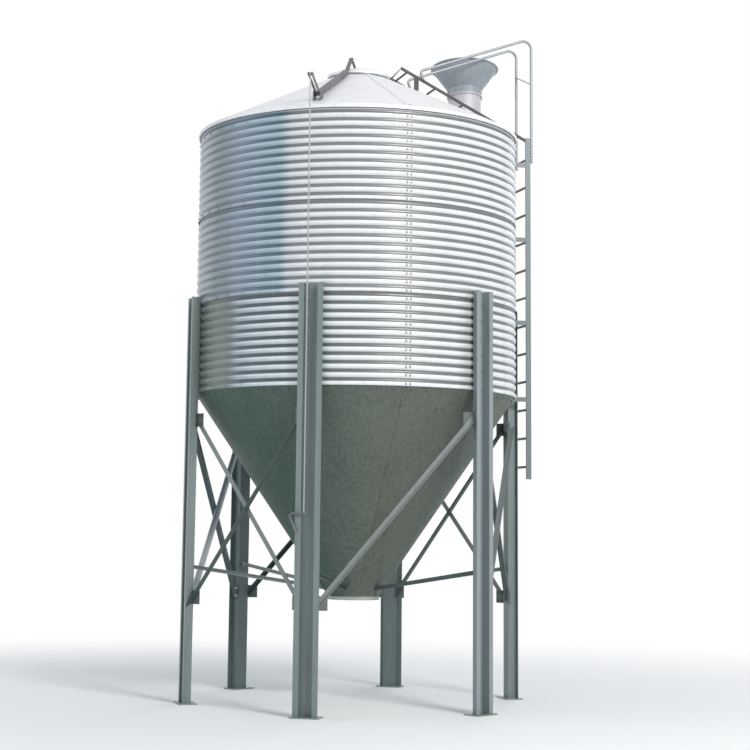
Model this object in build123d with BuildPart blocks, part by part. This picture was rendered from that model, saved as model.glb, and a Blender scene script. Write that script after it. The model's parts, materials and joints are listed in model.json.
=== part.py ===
"""Feed silo: a corrugated galvanised bin with a cone roof and a hopper bottom, standing on six legs.

Units are millimetres, +Z is up, and the origin is on the silo's axis at ground level.
An azimuth is measured from the front (-Y) and grows towards +X. On a radial plane, r is the distance
from the axis. Across a radial plane, t is the distance towards growing azimuth.
"""
import os
from math import atan, cos, hypot, radians, sin, sqrt, tan

from build123d import *

os.makedirs("parts", exist_ok=True)

# Wall: rings of corrugated sheet, three sheets to a ring
wall_mean_radius = 1371
sheet_thickness = 3
corrugation_pitch = 67.3
corrugation_depth = 12.7
corrugations_per_ring = 11
ring_count = 3
sheets_per_ring = 3
sheet_seam_azimuth = 17.5

# Hopper and its outlet collar
outlet_clearance = 840
collar_outer_radius = 222
collar_thickness = 4
collar_height = 62
hopper_depth = 1662
hopper_thickness = 3
hopper_skirt = 58
hopper_lap = 17

# Eave ring and roof
eave_flange_width = 34
eave_flange_thickness = 5
eave_lip_depth = 40
eave_lip_thickness = 4
roof_edge_radius = 1390
roof_seat_width = 28
roof_slope = 25.6
roof_edge_band = 28
roof_thickness = 3.5
roof_collar_thickness = 4

# Legs: hat sections, open outwards, each on a base plate
leg_count = 6
leg_azimuth = -14.2
leg_gap_to_wall = 0.3
leg_depth = 75
leg_box_width = 116
leg_overall_width = 200
leg_thickness = 4
leg_wall_overlap = 800
plate_thickness = 10
plate_length = 150
plate_width = 230
plate_inner_overhang = 42
anchor_hole_radius = 9
anchor_inner_offset = 21
anchor_outer_offset = 40

# Cross braces between the legs
brace_size = 40
brace_thickness = 5
brace_gap = 1
brace_plane_distance = 1235
brace_top_drop = 215
brace_bottom_height = 837
single_brace_bay = 0
gusset_width = 95
gusset_height = 110
gusset_thickness = 5
gusset_rise = 22

# Struts from the legs to the foot of the hopper
strut_size = 32
strut_thickness = 4
strut_leg_height = 1088
strut_hopper_height = 917

# Wall ladder
ladder_azimuth = 107
ladder_offset = -25
ladder_half_width = 175
ladder_standoff = 123
stile_depth = 46
stile_width = 12
ladder_bottom = 1872
rung_radius = 11
rung_spacing = 248
first_rung_rise = 108
bracket_height = 40
bracket_thickness = 6
bracket_crests = (0, 10, 21, 31)
seat_gap = 0.2

# Roof ladder
roof_ladder_height = 128
roof_stile_depth = 24
roof_ladder_top_radius = 328
roof_rung_radius = 9
roof_rung_spacing = 290
roof_rung_start = 60
roof_foot_radii = (470, 1290)
roof_foot_length = 40
strap_thickness = 8
strap_foot_radius = 300

# Handrails of the roof ladder
rail_radius = 12
rail_foot_drop = 220
rail_height = 1047
rail_corner_radius = 70
rail_slope = 20.4
rail_end_radius = 505
rail_end_bend = 32
rail_end_shift = 34
cross_bar_radius = 6
cross_bar_near_rise = 622
cross_bar_far_rise = 772

# Filler neck and funnel, leaning away from the ladder
filler_azimuth = 125.9
filler_radius = 1215
filler_lean = 6.8
neck_radius = 150
neck_thickness = 4
neck_height = 516
neck_sink = 85
neck_ring_radius = 163
neck_ring_height = 12
funnel_collar_height = 68
funnel_collar_radius = 158
funnel_rim_radius = 308
funnel_height = 275
funnel_thickness = 4
funnel_rim_lip = 8

# Lid and the lever that opens it from the ground
lid_radius = 275
lid_thickness = 3
lid_rim_height = 32
lid_skirt_gap = 6
lid_side_gap = 20
lid_seat_gap = 0.3
lid_rise = 65
lid_boss_radius = 55
mechanism_azimuth = -14.2
mechanism_offset = -26
pivot_radius = 1240
pivot_height = 50
pin_radius = 6
pin_clearance = 0.3
hub_radius = 15
hub_half_width = 20
cheek_gap = 6
cheek_thickness = 6
cheek_width = 80
cheek_top = 18
pin_overhang = 8
arm_depth = 40
arm_wall = 4
arm_end_radius = 335
arm_end_height = 34
riser_top_radius = 160
riser_top_rise = 73
riser_width = 34
riser_thickness = 10
hanger_width = 20
hanger_thickness = 8
hanger_foot = 60
hanger_foot_thickness = 5
crank_length = 255
crank_angle = 25
crank_width = 34
fork_thickness = 6
crank_pin_radius = 5
crank_pin_half_length = 28

# Pull rod, which hangs from the crank in front of a leg, with its bent handle
rod_radius = 6
rod_eye_radius = 13
rod_eye_half_width = 7
rod_eye_gap = 5
rod_bottom = 1543
handle_radius = 8
handle_stub = 15
handle_reach = 125
handle_return = 65
handle_drop = 145
handle_bend = 20

# Derived radii and heights
half_wave = corrugation_depth / 2
crest_radius = wall_mean_radius + half_wave + sheet_thickness / 2
valley_radius = wall_mean_radius - half_wave - sheet_thickness / 2
ring_height = corrugation_pitch * corrugations_per_ring
collar_top = outlet_clearance + collar_height
hopper_bottom = collar_top - hopper_lap
wall_bottom = hopper_bottom + hopper_depth
wall_top = wall_bottom + ring_count * ring_height
eave_height = wall_top + eave_flange_thickness
roof_tangent = tan(radians(roof_slope))
roof_apex = eave_height + roof_edge_band + roof_edge_radius * roof_tangent
leg_inner = crest_radius + leg_gap_to_wall
leg_outer = leg_inner + leg_depth
leg_top = wall_bottom + leg_wall_overlap
leg_half_box = leg_box_width / 2
leg_half_width = leg_overall_width / 2
hopper_tangent = (valley_radius - collar_outer_radius - hopper_thickness) / hopper_depth
roof_collar_radius = lid_radius - lid_side_gap
stile_inner = crest_radius + ladder_standoff
stile_outer = stile_inner + stile_depth
stile_offsets = (ladder_offset - ladder_half_width, ladder_offset + ladder_half_width)


def outward(azimuth):
    """Unit vector from the axis towards an azimuth."""
    return Vector(sin(radians(azimuth)), -cos(radians(azimuth)), 0)


def across(azimuth):
    """Unit vector at right angles to an azimuth, towards growing azimuth."""
    return Vector(cos(radians(azimuth)), sin(radians(azimuth)), 0)


def radial_plane(azimuth, offset=0):
    """Upright plane through the axis: x is r and y is height. Its normal points to shrinking azimuth."""
    return Plane(origin=across(azimuth) * offset, x_dir=outward(azimuth), z_dir=across(azimuth) * -1)


def level_plane(azimuth, height):
    """Level plane: x is r and y is t of an azimuth."""
    return Plane(origin=(0, 0, height), x_dir=outward(azimuth), z_dir=(0, 0, 1))


def roof_height(radius):
    """Height of the roof's outer face at a radius."""
    return roof_apex - radius * roof_tangent


def lid_height(radius):
    """Height of the lid's outer face at a radius: a shallow dome over its rim."""
    dome_radius = (lid_radius**2 + lid_rise**2) / (2 * lid_rise)
    return lid_rim_top + sqrt(dome_radius**2 - radius**2) - (dome_radius - lid_rise)


# Wall sheets
def corrugated_line(radius, bottom, upwards):
    """Arcs of one ring's corrugation at a radius, from the bottom up or from the top down."""
    half = corrugation_pitch / 2
    for number in range(2 * corrugations_per_ring):
        step = number if upwards else 2 * corrugations_per_ring - 1 - number
        low, high = bottom + step * half, bottom + (step + 1) * half
        side = half_wave if step % 2 == 0 else -half_wave
        start, end = (low, high) if upwards else (high, low)
        ThreePointArc((radius, start), (radius + side, (low + high) / 2), (radius, end))


sheet_angle = 360 / sheets_per_ring
for ring in range(ring_count):
    ring_bottom = wall_bottom + ring * ring_height
    for sheet in range(sheets_per_ring):
        with BuildPart() as wall_sheet:
            with BuildSketch(radial_plane(sheet_seam_azimuth + sheet * sheet_angle)):
                with BuildLine():
                    inner = wall_mean_radius - sheet_thickness / 2
                    outer = wall_mean_radius + sheet_thickness / 2
                    corrugated_line(outer, ring_bottom, True)
                    Line((outer, ring_bottom + ring_height), (inner, ring_bottom + ring_height))
                    corrugated_line(inner, ring_bottom, False)
                    Line((inner, ring_bottom), (outer, ring_bottom))
                make_face()
            revolve(axis=Axis.Z, revolution_arc=sheet_angle)
        wall_sheet.part.label = f"wall_ring_{ring + 1}_sheet_{sheet + 1}"
        export_step(wall_sheet.part, f"parts/{wall_sheet.part.label}.step")

# Hopper panels: a skirt inside the wall's foot, the cone, and a short lap round the collar
for sheet in range(sheets_per_ring):
    with BuildPart() as hopper_panel:
        with BuildSketch(radial_plane(sheet_seam_azimuth + sheet * sheet_angle)):
            with BuildLine():
                lap_bottom = hopper_bottom - hopper_lap
                top = wall_bottom + hopper_skirt
                skirt_inner = valley_radius - hopper_thickness
                Polyline(
                    (collar_outer_radius, lap_bottom),
                    (collar_outer_radius + hopper_thickness, lap_bottom),
                    (collar_outer_radius + hopper_thickness, hopper_bottom),
                    (valley_radius, wall_bottom),
                    (valley_radius, top),
                    (skirt_inner, top),
                    (skirt_inner, wall_bottom),
                    (collar_outer_radius, hopper_bottom),
                    close=True,
                )
            make_face()
        revolve(axis=Axis.Z, revolution_arc=sheet_angle)
    hopper_panel.part.label = f"hopper_panel_{sheet + 1}"
    export_step(hopper_panel.part, f"parts/{hopper_panel.part.label}.step")

# Outlet collar
with BuildPart() as outlet_collar:
    with BuildSketch(Plane.XY.offset(outlet_clearance)):
        Circle(collar_outer_radius)
        Circle(collar_outer_radius - collar_thickness, mode=Mode.SUBTRACT)
    extrude(amount=collar_height)
outlet_collar.part.label = "outlet_collar"
export_step(outlet_collar.part, "parts/outlet_collar.step")

# Eave ring: an angle whose flange lies on the wall's top edge and whose lip hangs inside it
with BuildPart() as eave_ring:
    with BuildSketch(Plane.XZ):
        with BuildLine():
            flange_outer = crest_radius
            flange_inner = flange_outer - eave_flange_width
            lip_outer = flange_inner + eave_lip_thickness
            Polyline(
                (flange_inner, wall_top - eave_lip_depth),
                (lip_outer, wall_top - eave_lip_depth),
                (lip_outer, wall_top),
                (flange_outer, wall_top),
                (flange_outer, eave_height),
                (flange_inner, eave_height),
                close=True,
            )
        make_face()
    revolve(axis=Axis.Z)
eave_ring.part.label = "eave_ring"
export_step(eave_ring.part, "parts/eave_ring.step")

# Filler axis, used by the roof's hole, the neck and the funnel
filler_foot = outward(filler_azimuth) * filler_radius + Vector(0, 0, roof_height(filler_radius))
filler_axis = Vector(0, sin(radians(filler_lean)), cos(radians(filler_lean)))


def filler_plane(distance):
    """Plane across the filler's leaning axis, at a distance up it from the roof."""
    return Plane(origin=filler_foot + filler_axis * distance, x_dir=(1, 0, 0), z_dir=filler_axis)


# Roof panels, with the filler's hole
hole_depth = 200
for sheet in range(sheets_per_ring):
    seam = sheet_seam_azimuth + sheet * sheet_angle
    with BuildPart() as roof_panel:
        with BuildSketch(radial_plane(seam)):
            with BuildLine():
                seat_inner = roof_edge_radius - roof_seat_width
                opening = roof_collar_radius
                Polyline(
                    (seat_inner, eave_height),
                    (roof_edge_radius, eave_height),
                    (roof_edge_radius, roof_height(roof_edge_radius)),
                    (opening, roof_height(opening)),
                    (opening, roof_height(opening) - roof_thickness),
                    (seat_inner, roof_height(seat_inner) - roof_thickness),
                    close=True,
                )
            make_face()
        revolve(axis=Axis.Z, revolution_arc=sheet_angle)
        if seam < filler_azimuth < seam + sheet_angle:
            with BuildSketch(filler_plane(-hole_depth / 2)):
                Circle(neck_radius - neck_thickness)
            extrude(amount=hole_depth, mode=Mode.SUBTRACT)
    roof_panel.part.label = f"roof_panel_{sheet + 1}"
    export_step(roof_panel.part, f"parts/{roof_panel.part.label}.step")

# Roof collar, which the lid closes
collar_foot = roof_height(roof_collar_radius) - roof_thickness
lid_rim_bottom = roof_height(lid_radius) + lid_skirt_gap
lid_rim_top = lid_rim_bottom + lid_rim_height
roof_collar_top = lid_height(roof_collar_radius) - lid_thickness - lid_seat_gap
with BuildPart() as roof_collar:
    with BuildSketch(Plane.XY.offset(collar_foot)):
        Circle(roof_collar_radius)
        Circle(roof_collar_radius - roof_collar_thickness, mode=Mode.SUBTRACT)
    extrude(amount=roof_collar_top - collar_foot)
roof_collar.part.label = "roof_collar"
export_step(roof_collar.part, "parts/roof_collar.step")

# Legs
for number in range(leg_count):
    azimuth = leg_azimuth + number * 360 / leg_count
    with BuildPart() as leg:
        with BuildSketch(level_plane(azimuth, plate_thickness)):
            with BuildLine():
                lip = leg_outer - leg_thickness
                web = leg_inner + leg_thickness
                groove = leg_half_box - leg_thickness
                Polyline(
                    (leg_inner, -leg_half_box),
                    (leg_inner, leg_half_box),
                    (lip, leg_half_box),
                    (lip, leg_half_width),
                    (leg_outer, leg_half_width),
                    (leg_outer, groove),
                    (web, groove),
                    (web, -groove),
                    (leg_outer, -groove),
                    (leg_outer, -leg_half_width),
                    (lip, -leg_half_width),
                    (lip, -leg_half_box),
                    close=True,
                )
            make_face()
        extrude(amount=leg_top - plate_thickness)
    leg.part.label = f"leg_{number + 1}"
    export_step(leg.part, f"parts/{leg.part.label}.step")

# Base plates, each with an anchor hole behind the leg's web and one in its groove
plate_middle = leg_inner - plate_inner_overhang + plate_length / 2
with BuildPart() as base_plates:
    for number in range(leg_count):
        azimuth = leg_azimuth + number * 360 / leg_count
        with BuildSketch(level_plane(azimuth, 0)):
            with Locations((plate_middle, 0)):
                Rectangle(plate_length, plate_width)
            with Locations((leg_inner - anchor_inner_offset, 0), (leg_inner + anchor_outer_offset, 0)):
                Circle(anchor_hole_radius, mode=Mode.SUBTRACT)
        extrude(amount=plate_thickness)
base_plates.part.label = "leg_base_plates"
export_step(base_plates.part, "parts/leg_base_plates.step")

# Braces: angle bars in the upright plane between two legs, one either side of that plane
bay_angle = 360 / leg_count
brace_top = wall_bottom - brace_top_drop


def bay_reach(distance):
    """How far a leg's side wall lies along the bay, on the upright plane at a distance from the axis."""
    return distance * tan(radians(bay_angle / 2)) - leg_half_box / cos(radians(bay_angle / 2))


def leg_side(azimuth, side):
    """The plane of a leg's side wall; side is 1 towards growing azimuth and -1 the other way."""
    normal = across(azimuth) * side
    return Plane(origin=normal * leg_half_box, z_dir=normal)


def brace_directions(bay):
    """1 for the bar that climbs towards growing azimuth, -1 for the one that crosses it."""
    return (1,) if bay == single_brace_bay else (1, -1)


brace_rise = brace_top - brace_bottom_height
brace_span = 2 * bay_reach(brace_plane_distance)
brace_tilt = atan(brace_rise / brace_span)
brace_length = hypot(brace_rise, brace_span) + 4 * brace_size
brace_middle = Vector(0, 0, (brace_top + brace_bottom_height) / 2)
for bay in range(leg_count):
    first_leg = leg_azimuth + bay * bay_angle
    middle = first_leg + bay_angle / 2
    with BuildPart() as brace:
        for direction in brace_directions(bay):
            bar = Plane(
                origin=outward(middle) * (brace_plane_distance + direction * brace_gap / 2) + brace_middle,
                x_dir=across(middle) * cos(brace_tilt) + Vector(0, 0, direction * sin(brace_tilt)),
                z_dir=outward(middle),
            )
            with BuildSketch(bar):
                Rectangle(brace_length, brace_size)
            extrude(amount=direction * brace_thickness)
            with BuildSketch(bar):
                with Locations((0, (brace_thickness - brace_size) / 2)):
                    Rectangle(brace_length, brace_thickness)
            extrude(amount=direction * brace_size)
        split(bisect_by=leg_side(first_leg, 1), keep=Keep.TOP)
        split(bisect_by=leg_side(first_leg + bay_angle, -1), keep=Keep.TOP)
    brace.part.label = f"brace_bay_{bay + 1}"
    export_step(brace.part, f"parts/{brace.part.label}.step")

# Gusset plates on the legs' side walls, flat against the backs of the braces
with BuildPart() as gussets:
    for bay in range(leg_count):
        middle = leg_azimuth + (bay + 0.5) * bay_angle
        for direction in brace_directions(bay):
            near = brace_plane_distance + direction * brace_gap / 2
            far = near - direction * gusset_thickness
            for end in (-1, 1):
                at_top = direction * end > 0
                centre = brace_top - gusset_rise if at_top else brace_bottom_height + gusset_rise
                with BuildSketch(level_plane(middle, centre - gusset_height / 2)):
                    with BuildLine():
                        Polyline(
                            (near, end * bay_reach(near)),
                            (far, end * bay_reach(far)),
                            (far, end * (bay_reach(near) - gusset_width)),
                            (near, end * (bay_reach(near) - gusset_width)),
                            close=True,
                        )
                    make_face()
                extrude(amount=gusset_height)
gussets.part.label = "brace_gussets"
export_step(gussets.part, "parts/brace_gussets.step")

# Struts: angle bars from the legs' webs to the foot of the hopper
with BuildPart() as struts:
    for number in range(leg_count):
        azimuth = leg_azimuth + number * bay_angle
        for low, high, sideways in ((0, strut_size, strut_thickness), (strut_size - strut_thickness, strut_size, strut_size)):
            with BuildSketch(radial_plane(azimuth, sideways)):
                with BuildLine():
                    Polyline(
                        (leg_inner, strut_leg_height + low),
                        (leg_inner, strut_leg_height + high),
                        (collar_outer_radius, strut_hopper_height + high),
                        (collar_outer_radius, strut_hopper_height + low),
                        close=True,
                    )
                make_face()
            extrude(amount=sideways)
    with BuildSketch(Plane.XZ):
        with BuildLine():
            Polyline(
                (0, hopper_bottom),
                (collar_outer_radius + hopper_thickness, hopper_bottom),
                (valley_radius, wall_bottom),
                (0, wall_bottom),
                close=True,
            )
        make_face()
    revolve(axis=Axis.Z, mode=Mode.SUBTRACT)
struts.part.label = "hopper_struts"
export_step(struts.part, "parts/hopper_struts.step")

# Wall ladder
roof_tilt = radians(roof_slope)
stile_middle = (stile_inner + stile_outer) / 2
ladder_top = roof_height(stile_inner) + roof_ladder_height + roof_stile_depth
with BuildPart() as wall_ladder:
    with BuildSketch(level_plane(ladder_azimuth, ladder_bottom)):
        with Locations(*[(stile_middle, offset) for offset in stile_offsets]):
            Rectangle(stile_depth, stile_width)
    extrude(amount=ladder_top - ladder_bottom)
    rung_count = int((wall_top - ladder_bottom - first_rung_rise) // rung_spacing) + 1
    with BuildSketch(radial_plane(ladder_azimuth, stile_offsets[1])):
        with Locations(*[(stile_middle, ladder_bottom + first_rung_rise + n * rung_spacing) for n in range(rung_count)]):
            Circle(rung_radius)
    extrude(amount=2 * ladder_half_width)
wall_ladder.part.label = "wall_ladder"
export_step(wall_ladder.part, "parts/wall_ladder.step")

# Brackets that hold the wall ladder off the crests of the wall
with BuildPart() as ladder_brackets:
    for crest in bracket_crests:
        crest_height = wall_bottom + (crest + 0.25) * corrugation_pitch
        with BuildSketch(level_plane(ladder_azimuth, crest_height - bracket_height / 2)):
            for offset in stile_offsets:
                with Locations((stile_inner - ladder_standoff, offset)):
                    Rectangle(2 * ladder_standoff, bracket_thickness)
        extrude(amount=bracket_height)
    with BuildSketch(Plane.XY.offset(wall_bottom - bracket_height)):
        Circle(crest_radius + seat_gap)
    extrude(amount=wall_top - wall_bottom + bracket_height, mode=Mode.SUBTRACT)
ladder_brackets.part.label = "ladder_brackets"
export_step(ladder_brackets.part, "parts/ladder_brackets.step")

# Roof ladder: its stiles run parallel to the roof and end on the wall ladder's stiles
half_rise = roof_stile_depth / 2 / cos(roof_tilt)


def roof_stile_height(radius):
    """Height of the roof ladder's centre line at a distance out along its own plane."""
    return roof_height(radius) + roof_ladder_height


with BuildPart() as roof_ladder:
    for offset in stile_offsets:
        with BuildSketch(radial_plane(ladder_azimuth, offset + stile_width / 2)):
            with BuildLine():
                top = roof_stile_height(roof_ladder_top_radius)
                end = roof_stile_height(stile_inner)
                Polyline(
                    (roof_ladder_top_radius, top - half_rise),
                    (stile_inner, end - half_rise),
                    (stile_inner, end + half_rise),
                    (roof_ladder_top_radius, top + half_rise),
                    close=True,
                )
            make_face()
        extrude(amount=stile_width)
    rung_step = roof_rung_spacing * cos(roof_tilt)
    first_rung = roof_ladder_top_radius + roof_rung_start
    rung_radii = [first_rung + n * rung_step for n in range(int((stile_inner - first_rung) // rung_step) + 1)]
    with BuildSketch(radial_plane(ladder_azimuth, stile_offsets[1])):
        with Locations(*[(radius, roof_stile_height(radius)) for radius in rung_radii]):
            Circle(roof_rung_radius)
    extrude(amount=2 * ladder_half_width)
roof_ladder.part.label = "roof_ladder"
export_step(roof_ladder.part, "parts/roof_ladder.step")


def trim_to_roof():
    """Trims what stands on the roof by all that lies under the roof's outer face."""
    with BuildSketch(Plane.XZ) as under_roof:
        with BuildLine():
            Polyline(
                (0, eave_height),
                (roof_edge_radius, eave_height),
                (roof_edge_radius, roof_height(roof_edge_radius)),
                (0, roof_apex),
                close=True,
            )
        make_face()
    revolve(under_roof.sketch, axis=Axis.Z, mode=Mode.SUBTRACT)


# Feet and top straps of the roof ladder
with BuildPart() as roof_feet:
    for offset in stile_offsets:
        with BuildSketch(radial_plane(ladder_azimuth, offset + stile_width / 2)):
            for radius in roof_foot_radii:
                with BuildLine():
                    inner, outer = radius - roof_foot_length / 2, radius + roof_foot_length / 2
                    Polyline(
                        (inner, roof_stile_height(inner) - half_rise),
                        (outer, roof_stile_height(outer) - half_rise),
                        (outer, eave_height),
                        (inner, eave_height),
                        close=True,
                    )
                make_face()
            with BuildLine():
                strap_foot = sqrt(strap_foot_radius**2 - offset**2)
                foot_height = roof_height(strap_foot_radius)
                top = roof_stile_height(roof_ladder_top_radius)
                Polyline(
                    (roof_ladder_top_radius, top - strap_thickness / 2),
                    (roof_ladder_top_radius, top + strap_thickness / 2),
                    (strap_foot, foot_height + strap_thickness),
                    (strap_foot, foot_height - 2 * strap_thickness),
                    close=True,
                )
            make_face()
        extrude(amount=stile_width)
    trim_to_roof()
roof_feet.part.label = "roof_ladder_feet"
export_step(roof_feet.part, "parts/roof_ladder_feet.step")

# Handrails: up the outside of the wall ladder, round a corner and down to the roof ladder
rail_line = stile_outer + rail_radius
rail_corner = eave_height + rail_height
for name, offset in zip(("near", "far"), stile_offsets):
    end_height = rail_corner - (rail_line - rail_end_radius) * tan(radians(rail_slope))
    landing = rail_end_radius + rail_end_shift
    with BuildPart() as handrail:
        with BuildLine(radial_plane(ladder_azimuth, offset)) as rail_path:
            FilletPolyline(
                (rail_line, ladder_top - rail_foot_drop),
                (rail_line, rail_corner),
                (rail_end_radius, end_height),
                (landing, roof_stile_height(landing)),
                radius=[rail_corner_radius, rail_end_bend],
            )
        with BuildSketch(Plane(origin=rail_path.line @ 0, z_dir=rail_path.line % 0)):
            Circle(rail_radius)
        sweep()
        with BuildSketch(radial_plane(ladder_azimuth, offset + 2 * rail_radius)):
            with BuildLine():
                inner, outer = landing - 3 * rail_radius, landing + 3 * rail_radius
                Polyline(
                    (inner, roof_stile_height(inner) + half_rise),
                    (outer, roof_stile_height(outer) + half_rise),
                    (outer, roof_stile_height(outer) - 2 * half_rise),
                    (inner, roof_stile_height(inner) - 2 * half_rise),
                    close=True,
                )
            make_face()
        extrude(amount=4 * rail_radius, mode=Mode.SUBTRACT)
    handrail.part.label = f"handrail_{name}"
    export_step(handrail.part, f"parts/{handrail.part.label}.step")

# Sloping bar between the two handrails
near_end = outward(ladder_azimuth) * rail_line + across(ladder_azimuth) * stile_offsets[0]
far_end = outward(ladder_azimuth) * rail_line + across(ladder_azimuth) * stile_offsets[1]
near_end += Vector(0, 0, eave_height + cross_bar_near_rise)
far_end += Vector(0, 0, eave_height + cross_bar_far_rise)
with BuildPart() as cross_bar:
    with BuildSketch(Plane(origin=near_end, z_dir=far_end - near_end)):
        Circle(cross_bar_radius)
    extrude(amount=(far_end - near_end).length)
    with BuildSketch(level_plane(ladder_azimuth, eave_height)):
        with Locations(*[(rail_line, offset) for offset in stile_offsets]):
            Circle(rail_radius)
    extrude(amount=rail_height, mode=Mode.SUBTRACT)
cross_bar.part.label = "rail_cross_bar"
export_step(cross_bar.part, "parts/rail_cross_bar.step")

# Filler neck, with the ring that carries the funnel
with BuildPart() as filler_neck:
    with BuildSketch(filler_plane(-neck_sink)):
        Circle(neck_radius)
        Circle(neck_radius - neck_thickness, mode=Mode.SUBTRACT)
    extrude(amount=neck_height + neck_sink)
    with BuildSketch(filler_plane(neck_height - neck_ring_height)):
        Circle(neck_ring_radius)
        Circle(neck_radius - neck_thickness, mode=Mode.SUBTRACT)
    extrude(amount=neck_ring_height)
    trim_to_roof()
filler_neck.part.label = "filler_neck"
export_step(filler_neck.part, "parts/filler_neck.step")

# Funnel: a short collar, a cone and a rolled rim
filler_section = Plane(origin=filler_foot, x_dir=(1, 0, 0), z_dir=Vector(1, 0, 0).cross(filler_axis))
with BuildPart() as filler_funnel:
    with BuildSketch(filler_section):
        with BuildLine():
            collar_end = neck_height + funnel_collar_height
            rim = neck_height + funnel_height
            Polyline(
                (funnel_collar_radius - funnel_thickness, neck_height),
                (funnel_collar_radius, neck_height),
                (funnel_collar_radius, collar_end),
                (funnel_rim_radius - funnel_rim_lip, rim - funnel_rim_lip),
                (funnel_rim_radius, rim - funnel_rim_lip),
                (funnel_rim_radius, rim),
                (funnel_rim_radius - funnel_rim_lip - funnel_thickness, rim),
                (funnel_collar_radius - funnel_thickness, collar_end),
                close=True,
            )
        make_face()
    revolve(axis=Axis(filler_foot, filler_axis))
filler_funnel.part.label = "filler_funnel"
export_step(filler_funnel.part, "parts/filler_funnel.step")

# Lid: a skirt round the roof collar under a shallow dome with a flat boss
boss_height = lid_height(lid_boss_radius)
half_way = (lid_boss_radius + lid_radius) / 2
skirt_inner = lid_radius - lid_thickness
skirt_top = lid_height(skirt_inner) - lid_thickness
with BuildPart() as lid:
    with BuildSketch(Plane.XZ):
        with BuildLine():
            Polyline(
                (skirt_inner, skirt_top),
                (skirt_inner, lid_rim_bottom),
                (lid_radius, lid_rim_bottom),
                (lid_radius, lid_rim_top),
            )
            ThreePointArc((lid_radius, lid_rim_top), (half_way, lid_height(half_way)), (lid_boss_radius, boss_height))
            Polyline(
                (lid_boss_radius, boss_height),
                (0, boss_height),
                (0, boss_height - lid_thickness),
                (lid_boss_radius, boss_height - lid_thickness),
            )
            ThreePointArc(
                (lid_boss_radius, boss_height - lid_thickness),
                (half_way, lid_height(half_way) - lid_thickness),
                (skirt_inner, skirt_top),
            )
        make_face()
    revolve(axis=Axis.Z)
lid.part.label = "lid"
export_step(lid.part, "parts/lid.step")

# Places on the mechanism's plane: pivot, crank pin, arm end and the top of the riser
pivot = Vector(pivot_radius, roof_height(pivot_radius) + pivot_height)
crank_pin = pivot + Vector(cos(radians(crank_angle)), sin(radians(crank_angle))) * crank_length
arm_end = Vector(arm_end_radius, roof_height(arm_end_radius) + arm_end_height)
riser_top = Vector(riser_top_radius, boss_height + riser_top_rise)


def mechanism_plane(sideways=0):
    """The lever's upright plane, moved sideways; its normal points to shrinking azimuth."""
    return radial_plane(mechanism_azimuth, mechanism_offset + sideways)


def bar_outline(start, finish, width):
    """Corners of a straight bar of a width between two places on a plane."""
    along = (finish - start).normalized()
    side = Vector(-along.Y, along.X) * (width / 2)
    return [start + side, finish + side, finish - side, start - side]


def bar_between(start, finish, width, low, high, mode=Mode.ADD):
    """A flat bar on the mechanism's plane, from t = low to t = high."""
    with BuildSketch(mechanism_plane(high)) as outline:
        with BuildLine():
            Polyline(*[(corner.X, corner.Y) for corner in bar_outline(start, finish, width)], close=True)
        make_face()
    extrude(outline.sketch, amount=high - low, mode=mode)


def disc_at(place, radius, low, high, mode=Mode.ADD):
    """A round across the mechanism's plane, from t = low to t = high."""
    with BuildSketch(mechanism_plane(high)) as disc:
        with Locations((place.X, place.Y)):
            Circle(radius)
    extrude(disc.sketch, amount=high - low, mode=mode)


# Lever: hub, channel arm, riser and forked crank, welded in one, with the crank's pin
with BuildPart() as lever:
    bar_between(pivot, arm_end, arm_depth, hub_half_width - arm_wall, hub_half_width)
    bar_between(pivot, arm_end, arm_depth, -hub_half_width, arm_wall - hub_half_width)
    flange_shift = Vector(-(arm_end - pivot).Y, (arm_end - pivot).X).normalized() * (arm_wall - arm_depth) / 2
    bar_between(pivot + flange_shift, arm_end + flange_shift, arm_wall, -hub_half_width, hub_half_width)
    bar_between(arm_end, riser_top, riser_thickness, -riser_width / 2, riser_width / 2)
    fork_gap = rod_eye_half_width + rod_eye_gap
    bar_between(pivot, crank_pin, crank_width, fork_gap, fork_gap + fork_thickness)
    bar_between(pivot, crank_pin, crank_width, -fork_gap - fork_thickness, -fork_gap)
    disc_at(pivot, hub_radius, -hub_half_width, hub_half_width)
    disc_at(crank_pin, crank_width / 2, fork_gap, fork_gap + fork_thickness)
    disc_at(crank_pin, crank_width / 2, -fork_gap - fork_thickness, -fork_gap)
    disc_at(crank_pin, crank_pin_radius, -crank_pin_half_length, crank_pin_half_length)
    disc_at(pivot, pin_radius + pin_clearance, -2 * hub_half_width, 2 * hub_half_width, Mode.SUBTRACT)
lever.part.label = "lid_lever"
export_step(lever.part, "parts/lid_lever.step")

# Hanger: a strap from the side of the riser's top to a foot on the lid's boss
foot_middle = boss_height + hanger_foot_thickness / 2
foot_inner = Vector(-hanger_foot / 2, foot_middle)
foot_outer = Vector(hanger_foot / 2, foot_middle)
strap_end = Vector(hanger_foot / 4, boss_height + hanger_foot_thickness)
with BuildPart() as hanger:
    bar_between(riser_top, strap_end, hanger_thickness, -hanger_width / 2, hanger_width / 2)
    bar_between(foot_inner, foot_outer, hanger_foot_thickness, -hanger_width / 2, hanger_width / 2)
    bar_between(arm_end, riser_top, riser_thickness, -riser_width, riser_width, Mode.SUBTRACT)
hanger.part.label = "lid_hanger"
export_step(hanger.part, "parts/lid_hanger.step")

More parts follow.
